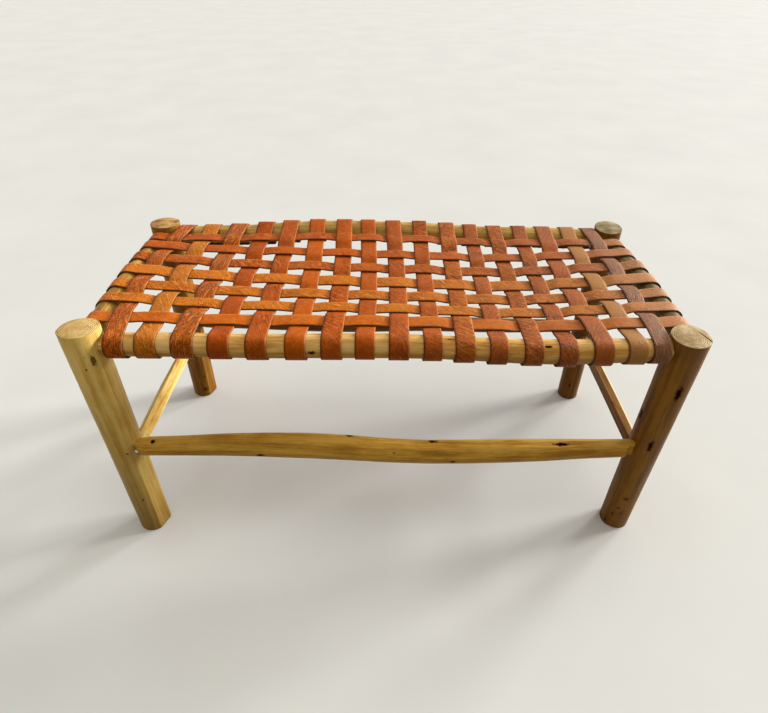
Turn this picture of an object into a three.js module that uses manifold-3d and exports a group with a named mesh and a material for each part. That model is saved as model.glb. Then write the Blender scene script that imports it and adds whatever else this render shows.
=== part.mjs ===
// A rustic bench: four peeled pole legs, pole rails and stretchers let into them with round
// tenons, and a seat of leather straps woven over and under between the four seat rails.
// Millimetres. +X runs along the bench, +Y to its back, +Z up, and the floor is at Z = 0.

import * as THREE from "three";
import { mergeVertices } from "three/addons/utils/BufferGeometryUtils.js";
import Module from "manifold-3d";

const wasm = await Module();
wasm.setup();

// Frame
const legSpacingLength = 915; // leg axis to leg axis along the bench
const legSpacingDepth = 384; // leg axis to leg axis front to back
const legHeight = 450;
const legHeadRadius = 30.4;
const legFootRadius = 27.2;
const legHeadChamfer = 1.2;
const legFootChamfer = 3;
const seatRailDrop = 26; // from the leg heads down to the axes of the front and side seat rails
const backRailDrop = 26.5;
const longRailRadius = 19.5;
const sideRailRadius = 19;
const seatTenonRadius = 15;
const frontStretcherHeight = 213;
const frontStretcherRadius = 21.4;
const frontStretcherTenonRadius = 15;
const frontStretcherOffset = 9; // its axis lies this far in front of the leg axes
const backStretcherDrop = 6; // its axis lies this far below the front stretcher's
const backStretcherRadius = 17.5;
const backStretcherTenonRadius = 12;
const endStretcherDrop = 28; // their axes lie this far below the front stretcher's
const endStretcherRadius = 14.3;
const endStretcherTenonRadius = 10;
const endStretcherInset = 5; // from the right leg axes towards the middle of the bench
const leftStretcherFrontInset = 9; // the left stretcher runs askew between its legs
const leftStretcherBackInset = 13;
const longTenonPastAxis = 8; // how far a long rail's tenon runs past the leg's axis
const stretcherTenonStop = 4; // how far short of the leg's axis a long stretcher's tenon ends
const tenonWeb = 1.5; // wood left between a side rail's mortise and a long rail's mortise
const tenonShow = 1; // length of round tenon that shows outside the leg
const whittleLength = 14; // length over which a pole is whittled down to its tenon
const clearance = 0.3; // running gap between pieces that touch
const cutOverrun = 5; // how far a cutting shape reaches past the face it cuts

// Seat straps
const warpWidth = 31;
const weftWidth = 30;
const strapThickness = 2;
const strapLegGap = 1.5; // room between the outermost straps and the legs
const crossingMargin = 2.5; // flat length past each edge of a crossed strap
const weaveSlack = 1.7; // play between two straps that cross
const warpRiseShare = 0.7; // share of a crossing's rise that the warp takes; the weft takes the rest
const seatSag = 20; // how far the middle of the seat hangs below the rails
const strapTail = 8; // straight end of a strap past its tack
const wrapEndAngle = THREE.MathUtils.degToRad(200); // from straight up, over the outside and under

// Fasteners
const tackHeadRadius = 4;
const tackHeadThickness = 1.2;
const tackShankRadius = 1.1;
const tackLength = 13;
const tackPoint = 3;
const nailHeadRadius = 3.4;
const nailHeadThickness = 1.4;
const nailShankRadius = 1.5;
const nailLength = 36;
const nailPoint = 4;
const nailOnPole = 29.5; // from the leg's axis, where the stretcher lies open in front of the leg
const nailOnLeg = 12; // from the leg's axis, where the nail goes through the leg to the tenon
const nailTiltAngle = THREE.MathUtils.degToRad(12); // how far above level the open nail's head faces

// Faceting
const legSides = 16;
const poleSides = 12;
const hewnSides = 8;
const poleStations = 12;
const legStations = 6;
const wrapSteps = 7;
const fastenerSides = 8;
const weldDistance = 0.001; // corners nearer than this are one corner

// Each leg's corner of the bench; the places of its foot and head off the true corner, as shares of
// the leg's height; its thickness at foot and head, as shares of the two leg radii; its own height,
// as a share of the leg's height; and how far its saw cut rises towards the back, as a share of the
// distance.
const legShares = {
  front_left: {
    corner: [-1, -1], foot: [0, -0.009], head: [-0.02, 0.001],
    girth: [1.05, 1.02], reach: 1.014, slant: -0.07,
  },
  front_right: {
    corner: [1, -1], foot: [-0.006, 0.01], head: [-0.005, -0.004],
    girth: [0.98, 0.975], reach: 1, slant: 0.07,
  },
  back_left: {
    corner: [-1, 1], foot: [0, 0.006], head: [0.001, 0.004],
    girth: [1.01, 0.97], reach: 1.003, slant: -0.045,
  },
  back_right: {
    corner: [1, 1], foot: [0.006, -0.007], head: [-0.012, -0.003],
    girth: [0.87, 0.905], reach: 1, slant: 0.07,
  },
};

// Natural shape of each pole at even steps from its first leg to its second: how far the axis
// wanders outwards and upwards, and the thickness, all as shares of the pole's radius.
const frontRailShares = [
  [0, 0, 0.9], [0, 0.1, 0.98], [0, 0.08, 0.96], [0.05, 0.06, 0.97], [0.1, 0.21, 0.99], [0.1, 0.24, 0.99],
  [0.05, 0.08, 0.94], [0, -0.27, 0.98], [0, -0.35, 1.03], [0, -0.12, 0.97], [0, 0.03, 0.9],
];
const backRailShares = [
  [0, 0, 0.88], [0, 0.09, 0.93], [0.1, 0.2, 0.96], [0.2, 0.54, 0.98], [0.26, 0.67, 1],
  [0.25, 0.58, 0.98], [0.19, 0.53, 0.98], [0.1, 0.17, 0.97], [0.04, 0.2, 0.97], [0, 0.14, 0.96], [0, 0, 0.9],
];
const leftRailShares = [[0, 0, 0.95], [0.16, 0, 1], [0.26, 0.04, 1.02], [0.15, 0, 1], [-0.08, 0, 0.92]];
const rightRailShares = [[0.06, 0, 0.94], [0.4, 0, 0.98], [0.36, 0.03, 1], [0, 0, 0.97], [-0.25, 0, 0.86]];
const frontStretcherShares = [
  [0, 0.02, 0.76], [0, 0.11, 0.81], [0, 0.26, 0.92], [0.05, 0.28, 1.02], [0.1, 0.13, 1.04],
  [0.05, -0.35, 1], [0, -0.56, 0.99], [0, -0.44, 0.99], [0, -0.28, 0.93], [0, -0.08, 0.78], [0, 0, 0.72],
];
const backStretcherShares = [
  [0, 0, 0.78], [0.1, 0.02, 0.9], [0.2, -0.1, 1], [0.1, -0.25, 1.02], [0, -0.3, 1], [-0.05, -0.15, 0.97],
  [0, 0, 0.98], [0.05, -0.1, 1], [0.1, -0.2, 0.96], [0, -0.1, 0.88], [0, 0, 0.78],
];
const leftStretcherShares = [[0, 0, 0.9], [0, 0.05, 1], [0.06, 0, 1.02], [0, -0.04, 0.98], [0, 0, 0.86]];
const rightStretcherShares = [[0, 0, 0.88], [0.05, 0, 1], [0, 0.05, 1], [-0.05, 0.03, 1], [0, 0, 0.9]];

const warpWidthShares = [
  1, 1.06, 1.1, 1.06, 1.05, 1.03, 1.03, 0.97, 1, 0.95, 1, 0.91, 0.95, 0.935, 1.03, 0.97, 0.91,
];
const weftWidthShares = [0.94, 0.97, 1.02, 1.1, 0.97, 0.9, 0.97];

// Where each strap lies, in shares of the reach from the middle to the outermost strap: the
// warps at the back rail, the middle and the front rail, and the wefts at the left, the middle
// and the right. Hand laying leaves them a little uneven.
const warpPlaceShares = [
  [-1.007, -1.06, -1.018], [-0.882, -0.912, -0.901], [-0.749, -0.765, -0.766], [-0.612, -0.631, -0.633],
  [-0.487, -0.492, -0.494], [-0.354, -0.344, -0.349], [-0.22, -0.209, -0.216], [-0.102, -0.088, -0.092],
  [0.023, 0.037, 0.034], [0.156, 0.157, 0.16], [0.29, 0.29, 0.28], [0.409, 0.41, 0.405],
  [0.529, 0.535, 0.536], [0.655, 0.655, 0.664], [0.776, 0.774, 0.794], [0.897, 0.897, 0.919],
  [1.005, 1.017, 1.009],
];
const weftPlaceShares = [
  [1.01, 0.972, 0.925], [0.772, 0.6, 0.63], [0.437, 0.264, 0.282], [0.097, -0.069, -0.058],
  [-0.25, -0.396, -0.39], [-0.576, -0.708, -0.697], [-0.978, -1.022, -1.01],
];

const rippleShare = 0.015; // unevenness of a peeled pole's surface
const poleTwistAngle = THREE.MathUtils.degToRad(516); // how far a pole's unevenness turns over its length
const legTwistAngle = THREE.MathUtils.degToRad(172);
const hewnShares = [1, 0.9, 1.03, 0.88, 1, 0.92, 1.02, 0.87]; // corners and flats of a hewn stick
const hewnTurnAngle = THREE.MathUtils.degToRad(34);

const lightWood = { color: 0xc9a86a, roughness: 0.7, metalness: 0 };
const darkWood = { color: 0xa98245, roughness: 0.72, metalness: 0 };
const leather = { color: 0xb5652f, roughness: 0.55, metalness: 0 };
const steel = { color: 0x9a9a98, roughness: 0.35, metalness: 1 };

const rightward = new THREE.Vector3(1, 0, 0);
const up = new THREE.Vector3(0, 0, 1);
const root = new THREE.Group();
const bench = new THREE.Group();
root.add(bench);

function toSolid(geometry) {
  const bare = geometry.clone();
  bare.deleteAttribute("normal");
  bare.deleteAttribute("uv");
  const merged = mergeVertices(bare, weldDistance);
  return new wasm.Manifold(
    new wasm.Mesh({
      numProp: 3,
      vertProperties: new Float32Array(merged.attributes.position.array),
      triVerts: new Uint32Array(merged.index.array),
    }),
  );
}

function toGeometry(solid) {
  const mesh = solid.getMesh();
  const geometry = new THREE.BufferGeometry();
  geometry.setAttribute("position", new THREE.BufferAttribute(mesh.vertProperties, 3));
  geometry.setIndex(new THREE.BufferAttribute(mesh.triVerts, 1));
  geometry.computeVertexNormals();
  return geometry;
}

function cut(geometry, cutters) {
  return toGeometry(cutters.reduce((solid, cutter) => solid.subtract(toSolid(cutter)), toSolid(geometry)));
}

function addPiece(name, geometry, look) {
  const mesh = new THREE.Mesh(geometry, new THREE.MeshStandardMaterial(look));
  mesh.name = name;
  bench.add(mesh);
  return mesh;
}

// A closed solid through a row of rings with the same number of points, with a flat cap at each end.
function loft(rings) {
  const sides = rings[0].length;
  const faces = [];
  for (let k = 0; k + 1 < rings.length; k += 1) {
    for (let i = 0; i < sides; i += 1) {
      const a = k * sides + i;
      const b = k * sides + ((i + 1) % sides);
      faces.push([a, b, b + sides], [a, b + sides, a + sides]);
    }
  }
  const last = (rings.length - 1) * sides;
  for (let i = 1; i + 1 < sides; i += 1) {
    faces.push([0, i + 1, i], [last, last + i, last + i + 1]);
  }
  const points = rings.flat();
  const volumeOf = ([a, b, c]) => points[a].dot(points[b].clone().cross(points[c]));
  const volume = faces.reduce((sum, face) => sum + volumeOf(face), 0);
  const index = faces.flatMap(([a, b, c]) => (volume > 0 ? [a, b, c] : [a, c, b]));
  const geometry = new THREE.BufferGeometry().setFromPoints(points);
  geometry.setIndex(index);
  geometry.computeVertexNormals();
  return geometry;
}

function ring(centre, first, second, radius, sides, outline) {
  const points = [];
  for (let i = 0; i < sides; i += 1) {
    const angle = (2 * Math.PI * i) / sides;
    const reach = radius * outline(angle);
    const point = centre.clone().addScaledVector(first, reach * Math.cos(angle));
    points.push(point.addScaledVector(second, reach * Math.sin(angle)));
  }
  return points;
}

// The parabola through three values at -1, 0 and 1.
function throughThree([low, middle, high], t) {
  return middle + ((high - low) / 2) * t + ((high + low) / 2 - middle) * t * t;
}

// Legs

function legAxis(key, height) {
  const { corner, foot, head } = legShares[key];
  const t = height / legHeight;
  return new THREE.Vector3(
    (corner[0] * legSpacingLength) / 2 + THREE.MathUtils.lerp(foot[0], head[0], t) * legHeight,
    (corner[1] * legSpacingDepth) / 2 + THREE.MathUtils.lerp(foot[1], head[1], t) * legHeight,
    height,
  );
}

function legRadius(key, height) {
  const { girth } = legShares[key];
  return THREE.MathUtils.lerp(legFootRadius * girth[0], legHeadRadius * girth[1], height / legHeight);
}

function legGeometry(key) {
  const { corner, reach, slant } = legShares[key];
  const ringAt = (height, inset, rise) => {
    const turn = corner[0] + 2 * corner[1] + (legTwistAngle * height) / legHeight;
    const outline = (angle) => 1 - rippleShare + rippleShare * Math.sin(2 * angle + turn);
    const second = new THREE.Vector3(0, 1, rise);
    return ring(legAxis(key, height), rightward, second, legRadius(key, height) - inset, legSides, outline);
  };
  const rings = [ringAt(0, legFootChamfer, 0)];
  for (let k = 0; k < legStations; k += 1) {
    const height = THREE.MathUtils.lerp(legFootChamfer, legHeight - seatRailDrop, k / legStations);
    rings.push(ringAt(height, 0, 0));
  }
  rings.push(ringAt(reach * legHeight - legHeadChamfer, 0, slant));
  rings.push(ringAt(reach * legHeight, legHeadChamfer, slant));
  return loft(rings);
}

// Rails and stretchers

// A pole from one leg to another. along is "x" or "y"; outward is the way it bows; offsets are
// from the two legs' axes to the pole's ends; past is how far its tenons run beyond the legs' axes,
// and is negative where they stop short of them.
function makePole({ from, to, along, outward, height, offsets, radius, tenonRadius, past, shares, hewn }) {
  const start = legAxis(from, height).add(offsets[0]);
  const end = legAxis(to, height).add(offsets[1]);
  const across = along === "x" ? new THREE.Vector3(0, 1, 0) : new THREE.Vector3(1, 0, 0);
  const pole = { from, to, along, across, height, tenonRadius, past, hewn, start, end };
  const low = shoulderPlace(pole, false);
  const high = shoulderPlace(pole, true);
  const shape = new THREE.CatmullRomCurve3(shares.map((row) => new THREE.Vector3(...row)));
  const body = [];
  for (let k = 0; k <= poleStations; k += 1) {
    const place = THREE.MathUtils.lerp(low + whittleLength, high - whittleLength, k / poleStations);
    const { x: bow, y: lift, z: girth } = shape.getPoint(shareAlong(pole, place));
    const centre = tenonCentre(pole, place)
      .addScaledVector(across, bow * outward * radius)
      .addScaledVector(up, lift * radius);
    body.push({ place, centre, radius: girth * radius });
  }
  const shoulder = (place) => ({ place, centre: tenonCentre(pole, place), radius: tenonRadius });
  pole.stations = [shoulder(low), ...body, shoulder(high)];
  return pole;
}

function shareAlong(pole, place) {
  return (place - pole.start[pole.along]) / (pole.end[pole.along] - pole.start[pole.along]);
}

function tenonCentre(pole, place) {
  return pole.start.clone().lerp(pole.end, shareAlong(pole, place));
}

// Where a pole's tenon leaves the leg's surface, at its first or second end.
function shoulderPlace(pole, atEnd) {
  const leg = atEnd ? pole.to : pole.from;
  const reach = legRadius(leg, pole.height) + tenonShow;
  return atEnd ? pole.end[pole.along] - reach : pole.start[pole.along] + reach;
}

// The centre and radius of a pole at any place along it.
function sectionAt(pole, place) {
  const { stations } = pole;
  const next = stations.findIndex((station, k) => k > 0 && station.place >= place);
  const after = stations[next < 0 ? stations.length - 1 : next];
  const before = stations[stations.indexOf(after) - 1];
  const share = THREE.MathUtils.clamp((place - before.place) / (after.place - before.place), 0, 1);
  const centre = before.centre.clone().lerp(after.centre, share);
  return { place, centre, radius: THREE.MathUtils.lerp(before.radius, after.radius, share) };
}

function tenonRing(pole, place, grow) {
  const sides = pole.hewn ? hewnSides : poleSides;
  return ring(tenonCentre(pole, place), pole.across, up, pole.tenonRadius + grow, sides, () => 1);
}

function poleOutline(pole, place) {
  if (pole.hewn) {
    return (angle) => hewnShares[Math.round((angle * hewnSides) / (2 * Math.PI)) % hewnSides];
  }
  const drift = poleTwistAngle * (shareAlong(pole, place) + pole.height / legHeight);
  return (angle) => 1 - rippleShare + rippleShare * Math.sin(3 * angle + drift);
}

function bodyRing(pole, { place, centre, radius }) {
  const turn = pole.hewn ? hewnTurnAngle : 0;
  const first = pole.across.clone().multiplyScalar(Math.cos(turn)).addScaledVector(up, Math.sin(turn));
  const second = pole.across.clone().multiplyScalar(-Math.sin(turn)).addScaledVector(up, Math.cos(turn));
  return ring(centre, first, second, radius, pole.hewn ? hewnSides : poleSides, poleOutline(pole, place));
}

function poleGeometry(pole) {
  const places = pole.stations.map((station) => station.place);
  return loft([
    tenonRing(pole, pole.start[pole.along] - pole.past, 0),
    tenonRing(pole, places[0], 0),
    ...pole.stations.slice(1, -1).map((station) => bodyRing(pole, station)),
    tenonRing(pole, places[places.length - 1], 0),
    tenonRing(pole, pole.end[pole.along] + pole.past, 0),
  ]);
}

function mortiseGeometry(pole, atEnd) {
  const mouth = shoulderPlace(pole, atEnd) + (atEnd ? -cutOverrun : cutOverrun);
  const blind = pole.past + clearance;
  const bottom = atEnd ? pole.end[pole.along] + blind : pole.start[pole.along] - blind;
  return loft([tenonRing(pole, bottom, clearance), tenonRing(pole, mouth, clearance)]);
}

const sideTenonStop = seatTenonRadius + clearance + tenonWeb;
const seatRailHeight = legHeight - seatRailDrop;
const backRailHeight = legHeight - backRailDrop;
const backStretcherHeight = frontStretcherHeight - backStretcherDrop;
const endStretcherHeight = frontStretcherHeight - endStretcherDrop;
const onAxes = [new THREE.Vector3(), new THREE.Vector3()];
const frontOfLegs = onAxes.map((offset) => offset.clone().setY(-frontStretcherOffset));
const insideLeft = [leftStretcherFrontInset, leftStretcherBackInset].map((x) => new THREE.Vector3(x, 0, 0));
const insideRight = onAxes.map((offset) => offset.clone().setX(-endStretcherInset));

const poles = {
  seat_rail_front: makePole({
    from: "front_left", to: "front_right", along: "x", outward: -1, height: seatRailHeight, offsets: onAxes,
    radius: longRailRadius, tenonRadius: seatTenonRadius, past: longTenonPastAxis, shares: frontRailShares,
  }),
  seat_rail_back: makePole({
    from: "back_left", to: "back_right", along: "x", outward: 1, height: backRailHeight, offsets: onAxes,
    radius: longRailRadius, tenonRadius: seatTenonRadius, past: longTenonPastAxis, shares: backRailShares,
  }),
  seat_rail_left: makePole({
    from: "front_left", to: "back_left", along: "y", outward: -1, height: seatRailHeight, offsets: onAxes,
    radius: sideRailRadius, tenonRadius: seatTenonRadius, past: -sideTenonStop, shares: leftRailShares,
  }),
  seat_rail_right: makePole({
    from: "front_right", to: "back_right", along: "y", outward: 1, height: seatRailHeight, offsets: onAxes,
    radius: sideRailRadius, tenonRadius: seatTenonRadius, past: -sideTenonStop, shares: rightRailShares,
  }),
  stretcher_front: makePole({
    from: "front_left", to: "front_right", along: "x", outward: -1, height: frontStretcherHeight,
    offsets: frontOfLegs, radius: frontStretcherRadius, tenonRadius: frontStretcherTenonRadius,
    past: -stretcherTenonStop, shares: frontStretcherShares,
  }),
  stretcher_back: makePole({
    from: "back_left", to: "back_right", along: "x", outward: 1, height: backStretcherHeight,
    offsets: onAxes, radius: backStretcherRadius, tenonRadius: backStretcherTenonRadius,
    past: -stretcherTenonStop, shares: backStretcherShares,
  }),
  stretcher_left: makePole({
    from: "front_left", to: "back_left", along: "y", outward: -1, height: endStretcherHeight,
    offsets: insideLeft, radius: endStretcherRadius, tenonRadius: endStretcherTenonRadius,
    past: -(backStretcherTenonRadius + clearance + tenonWeb), shares: leftStretcherShares, hewn: true,
  }),
  stretcher_right: makePole({
    from: "front_right", to: "back_right", along: "y", outward: 1, height: endStretcherHeight,
    offsets: insideRight, radius: endStretcherRadius, tenonRadius: endStretcherTenonRadius,
    past: -(backStretcherTenonRadius + clearance + tenonWeb), shares: rightStretcherShares, hewn: true,
  }),
};

// Weave

// How far from the middle of the bench the legs' inner faces are, along the bench and across it.
function legFree(axis) {
  const faces = Object.keys(legShares).map((key) => {
    const head = legAxis(key, legHeight);
    return Math.abs(head[axis]) - legRadius(key, legHeight);
  });
  return Math.min(...faces);
}

const warpReach = legFree("x") - warpWidth / 2 - strapLegGap;
const weftReach = legFree("y") - weftWidth / 2 - strapLegGap;
const warpWidths = warpWidthShares.map((share) => share * warpWidth);
const weftWidths = weftWidthShares.map((share) => share * weftWidth);
const crossingRise = strapThickness + clearance + weaveSlack;
const warpRise = warpRiseShare * crossingRise;
const weftRise = crossingRise - warpRise;

function warpPlace(i, y) {
  const [back, middle, front] = warpPlaceShares[i];
  return warpReach * throughThree([front, middle, back], (2 * y) / legSpacingDepth);
}

function weftPlace(j, x) {
  return weftReach * throughThree(weftPlaceShares[j], (2 * x) / legSpacingLength);
}

// The distance from a pole's axis to the middle of a strap laid round it, clear of the pole's
// surface over the whole width of the strap.
function strapReach(pole, place, width) {
  const { centre } = sectionAt(pole, place);
  const half = width / 2 + crossingMargin;
  const near = [sectionAt(pole, place - half), sectionAt(pole, place + half)];
  near.push(...pole.stations.filter((station) => Math.abs(station.place - place) < half));
  const reaches = near.map((section) => {
    const sideways = section.centre.clone().sub(centre).dot(pole.across);
    return section.radius + Math.hypot(sideways, section.centre.z - centre.z);
  });
  return Math.max(...reaches) + clearance + strapThickness / 2;
}

function railTop(pole, place, width) {
  return sectionAt(pole, place).centre.z + strapReach(pole, place, width);
}

// Height of the middle of the weave over a point of the seat.
function seatHeight(x, y) {
  const u = (2 * x) / legSpacingLength;
  const v = (2 * y) / legSpacingDepth;
  const front = railTop(poles.seat_rail_front, x, warpWidth);
  const back = railTop(poles.seat_rail_back, x, warpWidth);
  return THREE.MathUtils.lerp(front, back, (1 + v) / 2) - seatSag * (1 - u * u) * (1 - v * v);
}

const crossings = warpPlaceShares.map((_, i) =>
  weftPlaceShares.map((__, j) => {
    let x = warpPlace(i, 0);
    let y = weftPlace(j, x);
    for (let pass = 0; pass < 3; pass += 1) {
      x = warpPlace(i, y);
      y = weftPlace(j, x);
    }
    const side = (i + j) % 2 === 0 ? 1 : -1;
    return { x, y, z: seatHeight(x, y), side };
  }),
);

function aroundRail(centre, outward, reach, angle) {
  const sideways = outward * reach * Math.sin(angle);
  return new THREE.Vector2(centre.x + sideways, centre.y + reach * Math.cos(angle));
}

// A strap's middle line round a rail, in the plane across the rail, from the last flat of the
// weave, over the rail's outside and under it, to the tail past the tack.
function wrapPoints(centre, outward, reach, last) {
  const inward = (centre.x - last.x) * outward;
  const rise = last.y - centre.y;
  const away = Math.hypot(inward, rise);
  const start = Math.atan2(-inward, rise) + Math.acos(Math.min(1, reach / away));
  const step = (wrapEndAngle - start) / wrapSteps;
  const points = [];
  for (let k = 0; k < wrapSteps; k += 1) {
    points.push(aroundRail(centre, outward, reach / Math.cos(step / 2), start + (k + 0.5) * step));
  }
  const tail = aroundRail(centre, outward, reach, wrapEndAngle);
  tail.x += outward * strapTail * Math.cos(wrapEndAngle);
  tail.y -= strapTail * Math.sin(wrapEndAngle);
  points.push(tail);
  return points;
}

// A strap: its middle line in the plane of along and height, its side place as a function of
// along, its width and its thickness.
function strapGeometry(line, along, sideAt, width) {
  const rings = line.map((point, k) => {
    const before = line[Math.max(k - 1, 0)];
    const after = line[Math.min(k + 1, line.length - 1)];
    const into = point.clone().sub(before).normalize();
    const out = after.clone().sub(point).normalize();
    if (k === 0) into.copy(out);
    if (k === line.length - 1) out.copy(into);
    const normal = new THREE.Vector2(-into.y - out.y, into.x + out.x).normalize();
    const mitre = normal.dot(new THREE.Vector2(-into.y, into.x));
    const lift = strapThickness / 2 / mitre;
    const corners = [[-1, -1], [1, -1], [1, 1], [-1, 1]];
    return corners.map(([edge, face]) => {
      const a = point.x + face * lift * normal.x;
      const z = point.y + face * lift * normal.y;
      const side = sideAt(point.x) + (edge * width) / 2;
      return along === "x" ? new THREE.Vector3(a, side, z) : new THREE.Vector3(side, a, z);
    });
  });
  return loft(rings);
}

// The flats a strap makes over or under the straps it crosses, whose widths are given. rise is how
// far it stands above the middle of the weave where side is 1.
function flatsOver(crossed, widths, along, rise) {
  return crossed.flatMap((crossing, k) => {
    const height = crossing.z + rise * crossing.side;
    const half = widths[k] / 2 + crossingMargin;
    return [-half, half].map((step) => new THREE.Vector2(crossing[along] + step, height));
  });
}

function railSection(pole, place, width) {
  const { centre } = sectionAt(pole, place);
  const flatCentre = new THREE.Vector2(centre.dot(pole.across), centre.z);
  return { centre: flatCentre, reach: strapReach(pole, place, width) };
}

function warpLine(i) {
  const flats = flatsOver([...crossings[i]].reverse(), [...weftWidths].reverse(), "y", warpRise);
  const front = railSection(poles.seat_rail_front, warpPlace(i, -legSpacingDepth / 2), warpWidths[i]);
  const back = railSection(poles.seat_rail_back, warpPlace(i, legSpacingDepth / 2), warpWidths[i]);
  return [
    ...wrapPoints(front.centre, -1, front.reach, flats[0]).reverse(),
    ...flats,
    ...wrapPoints(back.centre, 1, back.reach, flats[flats.length - 1]),
  ];
}

function weftEnds(j) {
  const left = railSection(poles.seat_rail_left, weftPlace(j, -legSpacingLength / 2), weftWidths[j]);
  const right = railSection(poles.seat_rail_right, weftPlace(j, legSpacingLength / 2), weftWidths[j]);
  return { left, right };
}

function weftLine(j) {
  const flats = flatsOver(crossings.map((row) => row[j]), warpWidths, "x", -weftRise);
  const { left, right } = weftEnds(j);
  return [
    ...wrapPoints(left.centre, -1, left.reach, flats[0]).reverse(),
    ...flats,
    ...wrapPoints(right.centre, 1, right.reach, flats[flats.length - 1]),
  ];
}

// Keeps a strap's side place steady once it has passed the rail's axis.
function heldPlace(placeAt, limit) {
  return (along) => placeAt(THREE.MathUtils.clamp(along, -limit, limit));
}

// Fasteners

// A tack or nail, its head's underside at the origin and its point down the -Y axis.
function fastenerGeometry({ headRadius, headThickness, shankRadius, length, point }) {
  const profile = [
    [0, -length], [shankRadius, point - length], [shankRadius, 0], [headRadius, 0],
    [headRadius, headThickness / 2], [headRadius / 2, headThickness], [0, headThickness],
  ];
  return new THREE.LatheGeometry(profile.map(([r, y]) => new THREE.Vector2(r, y)), fastenerSides);
}

function fastenerHole({ shankRadius, length }) {
  const depth = length + clearance + cutOverrun;
  const radius = shankRadius + clearance;
  const hole = new THREE.CylinderGeometry(radius, radius, depth, fastenerSides);
  return hole.translate(0, cutOverrun - depth / 2, 0);
}

const tack = {
  headRadius: tackHeadRadius, headThickness: tackHeadThickness, shankRadius: tackShankRadius,
  length: tackLength, point: tackPoint,
};
const nail = {
  headRadius: nailHeadRadius, headThickness: nailHeadThickness, shankRadius: nailShankRadius,
  length: nailLength, point: nailPoint,
};

// seat is where the head's underside rests, outward the way the head faces.
function placed(seat, outward) {
  const turn = new THREE.Quaternion().setFromUnitVectors(new THREE.Vector3(0, 1, 0), outward);
  return { seat, turn };
}

function holeAt(kind, { seat, turn }) {
  return fastenerHole(kind).applyQuaternion(turn).translate(seat.x, seat.y, seat.z);
}

function addFastener(name, kind, { seat, turn }) {
  const mesh = addPiece(name, fastenerGeometry(kind), steel);
  mesh.position.copy(seat);
  mesh.quaternion.copy(turn);
}

// The tack under a side rail that holds one end of a weft.
function weftTack(j, sideName) {
  const { centre, reach } = weftEnds(j)[sideName];
  const outwardSign = sideName === "left" ? -1 : 1;
  const spot = aroundRail(centre, outwardSign, reach + strapThickness / 2 + clearance, wrapEndAngle);
  const facing = new THREE.Vector3(outwardSign * Math.sin(wrapEndAngle), 0, Math.cos(wrapEndAngle));
  const place = weftPlace(j, (outwardSign * legSpacingLength) / 2);
  return placed(new THREE.Vector3(spot.x, place, spot.y), facing);
}

// The nail that holds a long stretcher's tenon in its leg. It aims at the tenon's middle, distance
// away from the leg's axis, and its head stands on whichever of leg and tenon lies further out.
// towards is -1 from the front and 1 from behind.
function stretcherNail(pole, atEnd, { towards, distance, tilt }) {
  const leg = atEnd ? pole.to : pole.from;
  const aim = tenonCentre(pole, (atEnd ? pole.end : pole.start).x + (atEnd ? -distance : distance));
  const facing = new THREE.Vector3(0, towards * Math.cos(tilt), Math.sin(tilt));
  const legFace = Math.sqrt(legRadius(leg, pole.height) ** 2 - (distance - nailHeadRadius) ** 2);
  const legWay = (legFace - towards * (aim.y - legAxis(leg, pole.height).y)) / Math.cos(tilt);
  return placed(aim.addScaledVector(facing, Math.max(legWay, pole.tenonRadius) + clearance), facing);
}

const tacks = { left: [], right: [] };
for (const sideName of ["left", "right"]) {
  weftPlaceShares.forEach((_, j) => tacks[sideName].push(weftTack(j, sideName)));
}
const openNail = { towards: -1, distance: nailOnPole, tilt: nailTiltAngle };
const rearNail = { towards: 1, distance: nailOnLeg, tilt: 0 };
const nails = {
  front_left: { pole: "stretcher_front", spot: stretcherNail(poles.stretcher_front, false, openNail) },
  front_right: { pole: "stretcher_front", spot: stretcherNail(poles.stretcher_front, true, rearNail) },
  back_left: { pole: "stretcher_back", spot: stretcherNail(poles.stretcher_back, false, rearNail) },
  back_right: { pole: "stretcher_back", spot: stretcherNail(poles.stretcher_back, true, rearNail) },
};

// Assembly

for (const key of Object.keys(legShares)) {
  const mortises = Object.values(poles)
    .filter((pole) => pole.from === key || pole.to === key)
    .map((pole) => mortiseGeometry(pole, pole.to === key));
  addPiece("leg_" + key, cut(legGeometry(key), [...mortises, holeAt(nail, nails[key].spot)]), lightWood);
}

for (const [name, pole] of Object.entries(poles)) {
  const nailHoles = Object.values(nails)
    .filter((entry) => entry.pole === name)
    .map((entry) => holeAt(nail, entry.spot));
  const sideName = name.replace("seat_rail_", "");
  const tackHoles = (tacks[sideName] ?? []).map((spot) => holeAt(tack, spot));
  addPiece(name, cut(poleGeometry(pole), [...nailHoles, ...tackHoles]), pole.hewn ? darkWood : lightWood);
}

warpPlaceShares.forEach((_, i) => {
  const sideAt = heldPlace((y) => warpPlace(i, y), legSpacingDepth / 2);
  const name = "warp_strap_" + String(i + 1).padStart(2, "0");
  addPiece(name, strapGeometry(warpLine(i), "y", sideAt, warpWidths[i]), leather);
});

weftPlaceShares.forEach((_, j) => {
  const sideAt = heldPlace((x) => weftPlace(j, x), legSpacingLength / 2);
  const strap = strapGeometry(weftLine(j), "x", sideAt, weftWidths[j]);
  const holes = [holeAt(tack, tacks.left[j]), holeAt(tack, tacks.right[j])];
  addPiece("weft_strap_" + (j + 1), cut(strap, holes), leather);
});

for (const sideName of ["left", "right"]) {
  tacks[sideName].forEach((spot, j) => addFastener("tack_" + sideName + "_" + (j + 1), tack, spot));
}
for (const [key, { spot }] of Object.entries(nails)) {
  addFastener("nail_" + key, nail, spot);
}

// The bench stands with the middle of its outline over the origin.
root.updateMatrixWorld(true);
const middle = new THREE.Box3().setFromObject(bench, true).getCenter(new THREE.Vector3());
bench.position.set(-middle.x, -middle.y, 0);

export default root;
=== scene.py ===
import math
import random

import bpy
import numpy as np
from mathutils import Matrix, Vector, noise


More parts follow.
